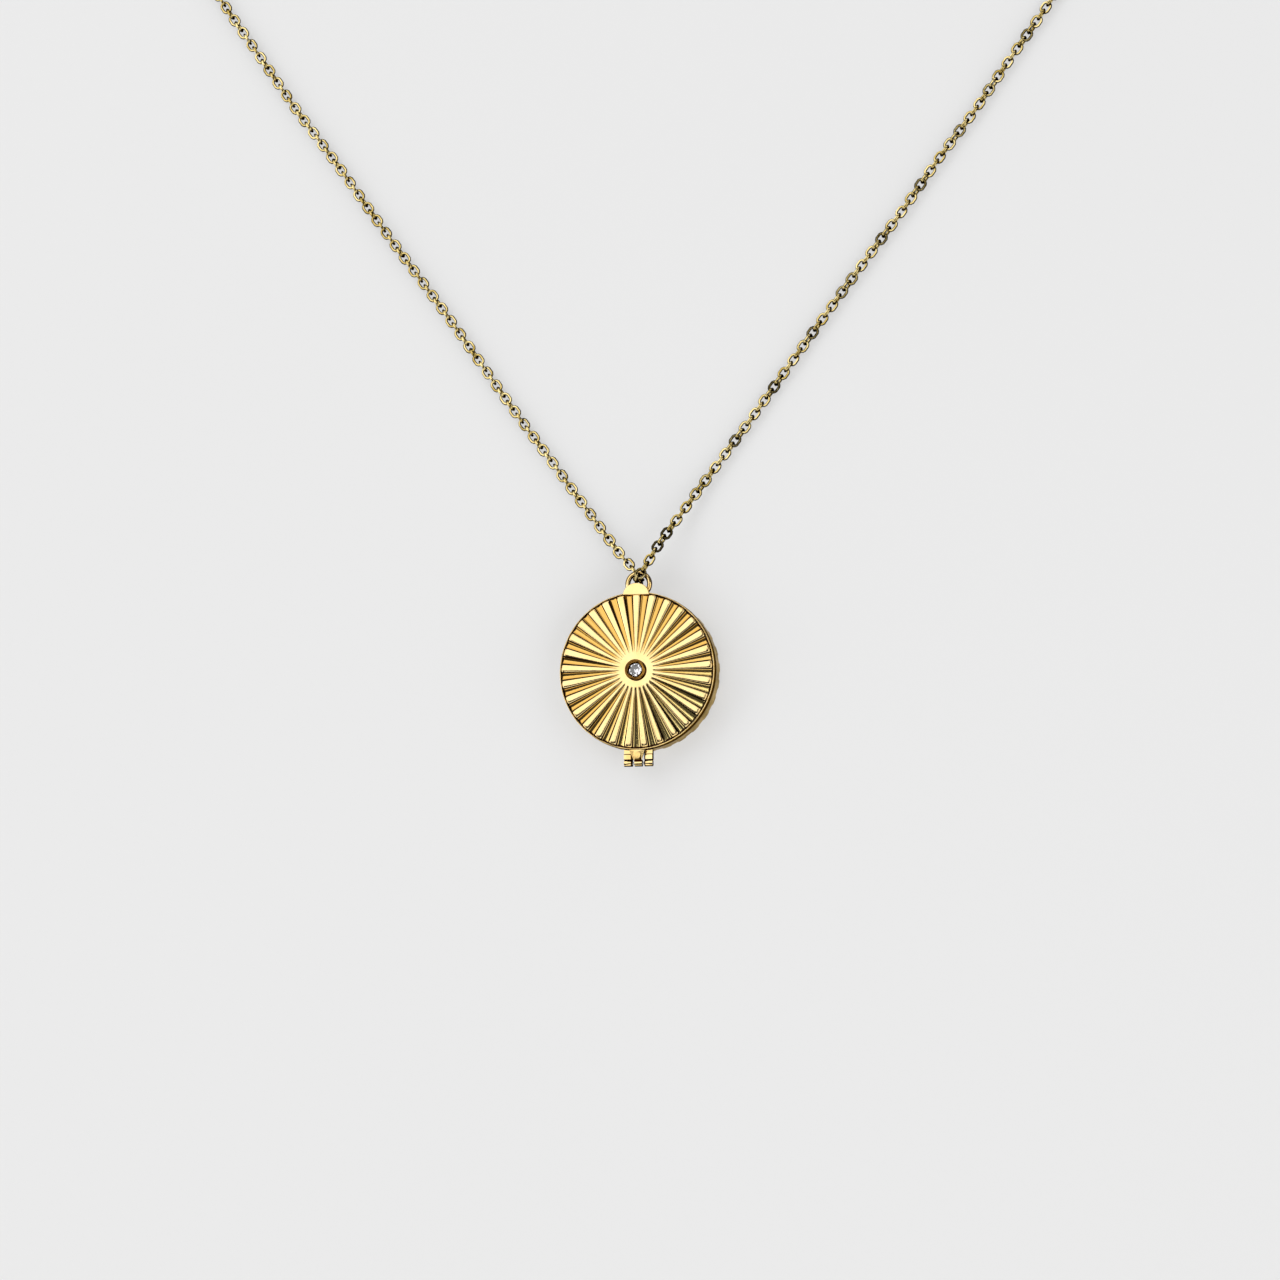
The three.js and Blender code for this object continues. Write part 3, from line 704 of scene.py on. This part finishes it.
def front_cover():
    # Radius, groove floor, and how far crest, shoulder and edge of the ridge rise above it.
    flute = [
        (9.84, 4.280, 0.00, 0.00, 0.00),
        (9.80, 4.275, 0.20, 0.12, 0.00),
        (9.74, 4.278, 0.33, 0.31, 0.14),
        (9.66, 4.283, 0.357, 0.353, 0.30),
        (9.50, 4.293, 0.353, 0.349, 0.325),
        (8.20, 4.385, 0.308, 0.304, 0.285),
        (6.50, 4.520, 0.234, 0.231, 0.210),
        (4.80, 4.650, 0.164, 0.161, 0.145),
        (3.50, 4.760, 0.100, 0.097, 0.085),
        (2.70, 4.840, 0.048, 0.045, 0.035),
    ]
    rim = [
        (COVER_BORE_R, CEILING_Z), (COVER_BORE_R, 3.98), (COVER_BORE_R, 3.33), (8.78, 3.30), (9.02, 3.30),
        (9.05, 3.33), (9.05, 3.66), (9.08, SEAM_Z), (10.0, SEAM_Z), (COVER_R, 3.75), (COVER_R, 4.25),
        (10.04, 4.34), (10.01, 4.39), (9.96, 4.39), (9.92, 4.34), (9.88, 4.29),
    ]
    middle = [
        (2.25, 4.895), (2.0, BOSS_Z), (0.9, BOSS_Z), (0.79, BOSS_Z - 0.02), (0.79, 4.16), (0.82, CEILING_Z),
        (8.4, CEILING_Z),
    ]
    moves = []
    for r, z, crest, shoulder, edge in flute:
        for columns, rise in ((CREST, crest), (SHOULDERS, shoulder), (EDGES, edge)):
            if rise:
                moves.append(((r, z), columns, 0, rise))
        moves.append(((r, z), HOLLOW, 0, -0.2 * crest))
    outline = rim + [(r, z) for r, z, *_ in flute] + middle
    piece = one_flute("fluted_cover", outline, moves)
    all_round(piece)
    hand_over(piece, COVER_GOLD, "cover", "front_cover", angle=50)


def back_case():
    outline = [
        (1.2, 0), (1.7, 0), (2.2, 0), (2.7, 0), (5.5, 0), (8.6, 0), (9.2, 0.02), (9.62, 0.12), (9.9, 0.35),
        (10.04, 0.75), (10.06, 1.3), (10.06, 2.4), (10.06, 2.85), (10.07, 3.0), (CASE_R, 3.08), (CASE_R, 3.6),
        (10.06, CASE_H), (9.19, CASE_H), (CASE_BORE_R, 3.61), (CASE_BORE_R, 0.66),
        (9.09, CASE_FLOOR), (8.5, CASE_FLOOR), (4, CASE_FLOOR), (1.2, CASE_FLOOR),
    ]
    moves = []
    for station, out, up in (
        ((2.7, 0), 0, 0.06),
        ((5.5, 0), 0, 0.16),
        ((8.6, 0), -0.02, 0.24),
        ((9.2, 0.02), -0.04, 0.24),
        ((9.62, 0.12), -0.06, 0.22),
        ((9.9, 0.35), -0.07, 0.14),
        ((10.04, 0.75), -0.07, 0.1),
        ((10.06, 1.3), -0.07, 0),
        ((10.06, 2.4), -0.07, 0),
        ((10.06, 2.85), -0.04, 0),
    ):
        moves.append((station, FLOOR + FEET, out, up))
    piece = one_flute("fluted_case", outline, moves, closed=False)
    all_round(piece)
    hand_over(piece, CASE_GOLD, "case", "back_case", angle=50)


front_cover()
back_case()


# ---- Tab, stone and its collet ----
def thumb_tab():
    """Half-round plate for the thumbnail, flat on the rim."""
    base = 9.65
    piece = pick_up(
        "half_round_tab",
        bpy.ops.mesh.primitive_circle_add,
        vertices=72,
        radius=1.7 * MM,
        fill_type="NGON",
        location=(0, base * MM, 4.43 * MM),
    )
    bpy.ops.mesh.bisect(
        plane_co=(0, base * MM, 0), plane_no=(0, -1, 0), clear_outer=True, use_fill=False, threshold=TOUCH
    )
    bpy.ops.mesh.select_all(action="SELECT")
    bpy.ops.transform.resize(value=(1, 1.5 / 1.7, 1), center_override=(0, base * MM, 0))
    bpy.ops.mesh.extrude_region_move(TRANSFORM_OT_translate={"value": (0, 0, 0.4 * MM)})
    tidy_up()
    ease_edges(piece, 0.07, 3)
    hand_over(piece, POLISHED_GOLD, "cover", "thumb_tab", flats=True)


def collet():
    """The cup that holds the stone: a stem through the cover, and a burnished lip."""
    piece = turned(
        "rubbed_over_collet",
        [
            (0.58, 4.17), (0.60, 4.15), (0.74, 4.15), (0.76, 4.17), (0.76, 4.90), (0.79, 4.92), (1.30, 4.92),
            (1.34, 4.96), (1.34, 5.28), (1.31, 5.36), (1.22, 5.43), (1.12, 5.44), (1.03, 5.41), (0.96, 5.36),
            (0.95, 5.32), (1.03, 5.26), (1.03, 5.15), (0.58, 4.84),
        ],
        64,
    )
    hand_over(piece, COLLET_GOLD, "cover", "stone_bezel", angle=40)


def facet(lean, around, reach, low):
    """Grinds the stone flat: all that stands outside one plane goes."""
    face = Vector((math.sin(lean) * math.cos(around), math.sin(lean) * math.sin(around), math.cos(lean)))
    spot = Vector((reach * math.cos(around), reach * math.sin(around), low)) * MM
    bpy.ops.mesh.select_all(action="SELECT")
    bpy.ops.mesh.bisect(plane_co=spot, plane_no=face, clear_outer=True, use_fill=True, threshold=TOUCH / 4)


def centre_stone():
    """A round brilliant, ground facet by facet."""
    girdle = BOSS_Z + 0.27
    piece = pick_up(
        "brilliant",
        bpy.ops.mesh.primitive_cylinder_add,
        vertices=64,
        radius=STONE_R * MM,
        depth=1.1 * MM,
        location=(0, 0, (girdle - 0.2) * MM),
    )
    eighth = math.pi / 4
    crown = girdle + 0.03
    pavilion = girdle - 0.03
    table = crown + 0.28
    facet(0, 0, 0, table)
    for i in range(8):
        facet(math.radians(34), i * eighth, STONE_R, crown)
    for i in range(16):
        facet(math.radians(41), (i + 0.5) * eighth / 2, STONE_R, crown)
    for i in range(8):
        facet(math.radians(21), (i + 0.5) * eighth, 0.57 * STONE_R, table)
    for i in range(8):
        facet(math.radians(180 - 37.5), i * eighth, STONE_R, pavilion)
    for i in range(16):
        facet(math.radians(180 - 39.5), (i + 0.5) * eighth / 2, STONE_R, pavilion)
    tidy_up()
    hand_over(piece, STONE, "cover", "centre_stone", angle=1)


thumb_tab()
collet()
centre_stone()


# ---- Hinge ----
def rod(name, radius, start, end, at, axis="X", sides=32):
    """A plain rod from one place to another along an axis, as a tool or a start."""
    turn = (0, math.pi / 2, 0) if axis == "X" else (0, 0, 0)
    middle = (start + end) / 2
    where = (middle, *at) if axis == "X" else (*at, middle)
    piece = pick_up(
        name,
        bpy.ops.mesh.primitive_cylinder_add,
        vertices=sides,
        radius=radius * MM,
        depth=(end - start) * MM,
        location=Vector(where) * MM,
        rotation=turn,
    )
    put_down()
    return piece


def hinge_leaf(side, sign):
    """An outer knuckle with its plate, soldered to the case."""
    start, end = sorted((sign * 0.80, sign * 1.84))
    back = HINGE_Y + KNUCKLE_R
    top = HINGE_Z + KNUCKLE_R
    low = HINGE_Z - KNUCKLE_R
    piece = sawn(
        f"hinge_leaf_{side}_plate",
        [
            (-9.1, low), (-9.1, top - 0.12), (-10.50, top - 0.12), (-10.58, top - 0.02), (-10.62, top),
            (back + 0.06, top), (back + 0.02, top - 0.04), (back - 0.05, top - 0.22), (back - 0.12, HINGE_Z),
            (back - 0.06, low + 0.2), (back + 0.02, low + 0.05), (back + 0.12, low),
        ],
        start,
        end,
        "X",
    )
    cut_with(piece, rod("knuckle", KNUCKLE_R, start, end, (HINGE_Y, HINGE_Z)), "UNION")
    cut_with(piece, rod("pin_drill", PIN_BORE_R, start - 1, end + 1, (HINGE_Y, HINGE_Z)))
    cut_with(piece, rod("case_round", CASE_R + 0.03, -1, CASE_H + 1, (0, 0), "Z", 256))
    ease_edges(piece, 0.05)
    hand_over(piece, LEAF_GOLD, "case", f"hinge_leaf_{side}", flats=True)


def cover_knuckle():
    """The middle knuckle and its tongue, which flares into the cover's rim."""
    piece = sawn(
        "cover_knuckle_tongue",
        [
            (-10.08, 3.78), (-10.08, 4.30), (-10.28, 4.31), (-10.61, 4.31), (-10.95, 4.30), (-11.13, 4.28),
            (-11.22, 4.20), (-11.40, 3.80), (-11.58, 3.50), (-11.38, 3.26), (-11.10, 3.62), (-10.90, 3.80),
            (-10.61, 3.82), (-10.28, 3.80),
        ],
        -0.48,
        0.48,
        "X",
    )
    # Wide where it meets the rim, then narrow, then a little wider, with a cut-off point at its end.
    widths = ((-10.08, 2.1), (-10.28, 0.8), (-10.61, 1.0), (-10.93, 0.88), (-11.13, 0.62), (-11.22, 0.58))
    for near, width in widths:
        low, high = near - 0.04, near + 0.04
        pick(piece, "VERT", lambda v: low * MM < v.co.y < high * MM and v.co.z > 3.7 * MM)
        bpy.ops.transform.resize(value=(width, 1, 1), center_override=(0, 0, 0))
    cut_with(piece, rod("knuckle", KNUCKLE_R, -0.48, 0.48, (HINGE_Y, HINGE_Z)), "UNION")
    cut_with(piece, rod("pin_drill", PIN_BORE_R, -2, 2, (HINGE_Y, HINGE_Z)))
    cut_with(piece, rod("cover_round", COVER_R + 0.03, 3, 5, (0, 0), "Z", 256))
    ease_edges(piece, 0.05)
    hand_over(piece, HINGE_GOLD, "cover", "cover_knuckle", flats=True)


hinge_leaf("left", -1)
hinge_leaf("right", 1)
cover_knuckle()


# ---- Bail ----
def wire_ring(name, radius, wire, rounds, sides, centre, lean=0):
    """A closed ring of round wire, turned up about X."""
    piece = pick_up(
        name,
        bpy.ops.mesh.primitive_torus_add,
        major_radius=radius * MM,
        minor_radius=wire * MM,
        major_segments=rounds,
        minor_segments=sides,
        location=Vector(centre) * MM,
        rotation=(math.radians(lean), 0, 0),
    )
    put_down()
    return piece


def bail():
    piece = wire_ring("wire_bail", BAIL_R, BAIL_WIRE_R, 96, 24, (0, BAIL_Y, BAIL_Z))
    cut_with(piece, rod("case_round", CASE_R + 0.03, -1, CASE_H + 1, (0, 0), "Z", 256))
    hand_over(piece, HINGE_GOLD, "case", "bail_loop")


bail()


# ---- Photo holders: card, clear window and snap ring in each half ----
def photo_holder(side, body, seat, facing, bore):
    """Card, window and ring, stacked from the seat towards the inside of the locket."""

    def layer(name, inner, outer, start, thick, ease, finish, stands_for):
        low = seat + start if facing > 0 else seat - start - thick
        high = low + thick
        outline = [
            (outer - ease, low), (outer, low + ease), (outer, high - ease), (outer - ease, high),
        ]
        if inner:
            outline += [(inner + ease, high), (inner, high - ease), (inner, low + ease), (inner + ease, low)]
            piece = turned(name, outline, 128)
        else:
            piece = draw(name, [(r, 0, z) for r, z in [(0, low), *outline, (0, high)]], closed=False)
            carry_round(2 * math.pi, 128)
            tidy_up()
        hand_over(piece, finish, body, stands_for)

    outer = bore - 0.03
    layer(f"{side}_card", 0, outer - 0.1, 0.03, 0.15, 0.02, CARD, f"{side}_photo_card")
    layer(f"{side}_window", 0, outer - 0.1, 0.21, 0.24, 0.04, ACETATE, f"{side}_photo_window")
    layer(f"{side}_snap_ring", outer - 1.1, outer, 0.48, 0.32, 0.1, POLISHED_GOLD, f"{side}_photo_frame")


photo_holder("case", "case", CASE_FLOOR, 1, CASE_BORE_R)
photo_holder("cover", "cover", CEILING_Z, -1, COVER_BORE_R)


# ---- Clasp ----
def arc(x, y, radius, start, end, steps):
    """Points on an arc, its angles in degrees."""
    turns = [math.radians(start + (end - start) * i / steps) for i in range(steps + 1)]
    return [(x + radius * math.cos(t), y + radius * math.sin(t)) for t in turns]


def at_clasp(points):
    return [(x + CLASP.x, y + CLASP.y) for x, y in points]


def clasp_body():
    """The hook, its cheeks and its eye, cast in one."""
    outline = [
        (-3.75, -0.75), (-3.35, -1.2), (-2.8, -1.55), (-2.1, -1.78), (-1.4, -1.86), (0.2, -2.04),
        *arc(1.7, 0, 2.2, -90, 80, 20),
        *arc(1.7, 0, 1.4, 80, -90, 16),
        (0.2, -1.2), (-0.9, -0.95), (-1.25, 0.2), (-1.5, 1.35), (-2.2, 1.4), (-3.0, 1.35), (-3.5, 1.05),
        (-3.75, 0.75),
    ]
    z = CLASP.z
    piece = sawn("clasp_hook", at_clasp(outline), z - 0.55, z + 0.55, "Z")
    ease_edges(piece, 0.24, 4)
    eye = sawn("clasp_eye", at_clasp(arc(-4.45, 0, 1.025, 0, 348, 29)), z - 0.375, z + 0.375, "Z")
    cut_with(eye, rod("eye_drill", 0.625, z - 1, z + 1, (-4.45, CLASP.y), "Z"))
    ease_edges(eye, 0.12, 3, 50)
    cut_with(piece, eye, "UNION")
    slot_outline = [(-3.15, -0.35), (-0.85, -0.35), (-0.85, 2.0), (-3.15, 2.0)]
    slot = sawn("slot_saw", at_clasp(slot_outline), z - 0.33, z + 0.33, "Z")
    cut_with(piece, slot)
    cut_with(piece, rod("pin_drill", 0.22, z - 1, z + 1, (-2.2, CLASP.y + 0.6), "Z"))
    hand_over(piece, CLASP_GOLD, "case", "clasp_body", angle=40, flats=True)


def clasp_lever():
    """The gate of the clasp, with its thumb piece."""
    x, y = -2.2, 0.6
    outline = [
        *arc(x, y, 0.5, -90, -270, 12), (x + 0.5, y + 0.52), (x + 0.9, y + 0.58), (x + 1.05, y + 0.95),
        (x + 1.12, y + 1.12), (x + 1.35, y + 1.17), (x + 1.6, y + 1.12), (x + 1.75, y + 0.8),
        (x + 1.9, y + 0.6), (x + 3.0, y + 0.66), (x + 4.12, y + 0.69), (x + 4.25, y + 0.55),
        (x + 4.15, y + 0.3), (x + 2.4, y + 0.08), (x + 0.6, y - 0.2),
    ]
    z = CLASP.z
    piece = sawn("clasp_gate", at_clasp(outline), z - 0.29, z + 0.29, "Z")
    cut_with(piece, rod("pin_drill", 0.24, z - 1, z + 1, (x, CLASP.y + y), "Z"))
    ease_edges(piece, 0.08, 3, 40)
    hand_over(piece, CLASP_GOLD, "lever", "clasp_lever", flats=True)


clasp_body()
clasp_lever()
jump_ring = wire_ring("jump_ring", 1.25, 0.2, 48, 14, (-5.925, 142, 1.4274), 75)
hand_over(jump_ring, CHAIN_GOLD, "case", "clasp_jump_ring")
end_ring = wire_ring("end_ring", 1.5, 0.225, 48, 14, (3.925, 142, 1.3941), 50)
hand_over(end_ring, CHAIN_GOLD, "case", "clasp_end_ring")

# The steel pieces keep the shapes that the solid model gives them.
for name in ("hinge_pin", "clasp_pin", "clasp_spring"):
    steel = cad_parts[name]
    steel.data.materials.clear()
    steel.data.materials.append(SPRING_STEEL)


# ---- Table and light ----
OWN_TONE = 0.55
TOP_LEVEL = 1.65
SIDE_LEVEL = 1.9


def table_top():
    """A pale matt table, much wider than the chain."""
    put_down()
    bpy.ops.mesh.primitive_plane_add(size=3, location=(0, 0.05, -0.02 * MM))
    table = bpy.context.object
    table.name = "table_top"
    finish, tree, shader = new_finish("pale_matt_board")
    shader.inputs["Roughness"].default_value = 0.9
    shader.inputs["Specular IOR Level"].default_value = 0.1
    place = node(tree, "ShaderNodeTexCoord").outputs["Object"]
    # Clouds about 160 mm across, hardly seen, so that the board is not one flat tone.
    cloud = node(tree, "ShaderNodeTexNoise", {"Vector": place, "Scale": 6.0, "Detail": 2.0})
    tone = node(tree, "ShaderNodeValToRGB", {"Fac": cloud.outputs["Fac"]})
    tone.color_ramp.elements[0].color = paint("e7e7e7")
    tone.color_ramp.elements[1].color = paint("e9e9e9")
    tree.links.new(tone.outputs["Color"], shader.inputs["Base Color"])
    # Just over half of what is seen of the board is its own plain tone, which lightens the shadow.
    plain = node(tree, "ShaderNodeEmission", {"Color": tone.outputs["Color"], "Strength": 1.0})
    rays = node(tree, "ShaderNodeLightPath")
    seen = sums(tree, "MAXIMUM", rays.outputs["Is Camera Ray"], rays.outputs["Is Glossy Ray"])
    seen = sums(tree, "MAXIMUM", seen, rays.outputs["Is Transmission Ray"])
    share = sums(tree, "MULTIPLY", seen, OWN_TONE)
    out = tree.nodes["Material Output"]
    feeds = {0: share, 1: shader.outputs["BSDF"], 2: plain.outputs["Emission"]}
    mix = node(tree, "ShaderNodeMixShader", feeds)
    tree.links.new(mix.outputs["Shader"], out.inputs["Surface"])
    table.data.materials.append(finish)


def soft_box(name, at, facing, width, height, level):
    """A large even lamp, with the place of its middle and the place that it faces in metres."""
    lamp = bpy.data.lights.new(name, "AREA")
    lamp.shape = "RECTANGLE"
    lamp.size = width
    lamp.size_y = height
    lamp.energy = level * math.pi * width * height
    holder = bpy.data.objects.new(name, lamp)
    scene.collection.objects.link(holder)
    holder.location = at
    holder.rotation_euler = (Vector(at) - Vector(facing)).to_track_quat("Z", "Y").to_euler()


def room_light(level):
    world = bpy.data.worlds.new("room")
    scene.world = world
    world.use_nodes = True
    tree = world.node_tree
    tree.nodes.clear()
    sky = node(tree, "ShaderNodeBackground", {"Color": paint("f2f2f0"), "Strength": level})
    node(tree, "ShaderNodeOutputWorld", {"Surface": sky.outputs["Background"]})


table_top()
room_light(0.1)
# The main box hangs level to the upper left; its near corner stands just off the middle.
soft_box("main_soft_box", (-0.729, 0.641, 1.0), (-0.729, 0.641, 0), 1.3, 1.3, TOP_LEVEL)
# A strip beside it brightens one flank of the flutes.
soft_box("strip_soft_box", (0.035, 0.37, 1.0), (0.035, 0.37, 0), 0.22, 0.46, TOP_LEVEL)
soft_box("right_soft_box", (0.96, -0.2, 0.66), (0, 0, 0), 1.0, 1.2, SIDE_LEVEL)
soft_box("left_soft_box", (-1.2, -0.3, 0.6), (0, 0, 0), 1.0, 1.2, SIDE_LEVEL)
soft_box("front_soft_box", (0.1, -1.0, 0.6), (0, 0, 0), 1.2, 1.0, SIDE_LEVEL)
soft_box("rear_soft_box", (0.3, 1.3, 0.6), (0, 0, 0), 1.2, 0.8, SIDE_LEVEL)
